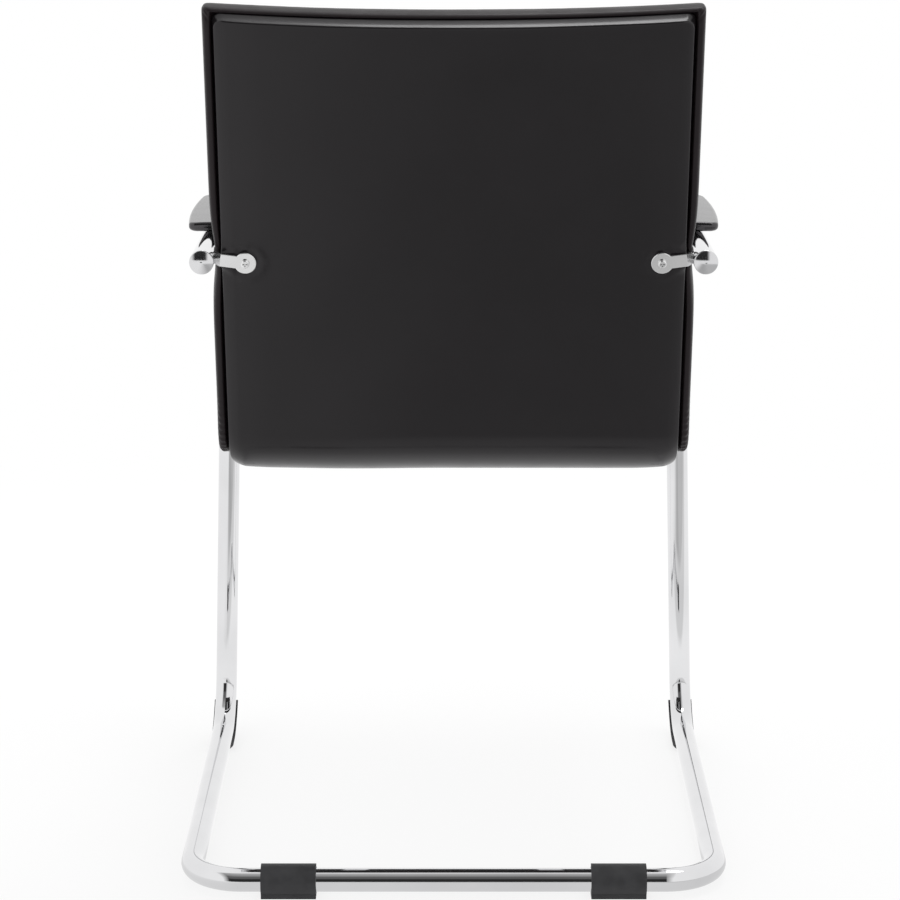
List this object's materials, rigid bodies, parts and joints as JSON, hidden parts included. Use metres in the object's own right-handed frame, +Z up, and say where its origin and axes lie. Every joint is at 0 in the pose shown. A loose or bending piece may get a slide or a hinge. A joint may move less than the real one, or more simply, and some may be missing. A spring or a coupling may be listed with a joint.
{
  "type": "side chair",
  "caption": "Guest side chair with arms: a cantilever frame of bent chromed tube carries a padded black vinyl seat and back with black arm pads.",
  "frame": {"origin": "on the floor, in the middle of the plan box", "axes": "+Z up, the sitter looks along -Y, +X is the sitter's left"},
  "size_m": [0.5828, 0.6296, 0.9185],
  "materials": {
    "chromed_tube": "bright chromed steel tube and bar",
    "chromed_strap": "bright chromed flat steel and screw heads",
    "chromed_cap": "bright chromed end caps",
    "arm_pad": "black moulded pad, satin",
    "glide_plastic": "black plastic, matt",
    "vinyl": "black vinyl, fine grain, semi-matt",
    "foam": "upholstery foam",
    "plywood": "bent plywood, unfinished",
    "lining": "black non-woven lining",
    "zinc_steel": "zinc plated steel"
  },
  "bodies": {
    "root": {"frame_tube": "chromed_tube", "seat_cross_tube": "chromed_tube", "seat_rail_left": "chromed_tube", "seat_rail_right": "chromed_tube", "back_strap_left": "chromed_strap", "back_strap_right": "chromed_strap", "arm_end_cap_left": "chromed_cap", "arm_end_cap_right": "chromed_cap", "arm_pad_left": "arm_pad", "arm_pad_right": "arm_pad", "arm_pad_plate_left": "zinc_steel", "arm_pad_plate_right": "zinc_steel", "arm_pad_screws": "zinc_steel", "rear_glide_left": "glide_plastic", "rear_glide_right": "glide_plastic", "front_glide_left": "glide_plastic", "front_glide_right": "glide_plastic", "seat_shell": "plywood", "seat_foam": "foam", "back_foam": "foam", "rear_foam": "foam", "front_cover": "vinyl", "rear_cover": "vinyl", "dust_cover": "lining", "seat_bolts": "zinc_steel", "seat_washers": "zinc_steel", "seat_nuts": "zinc_steel", "back_nuts": "zinc_steel", "back_screws": "chromed_strap"}
  },
  "joints": []
}
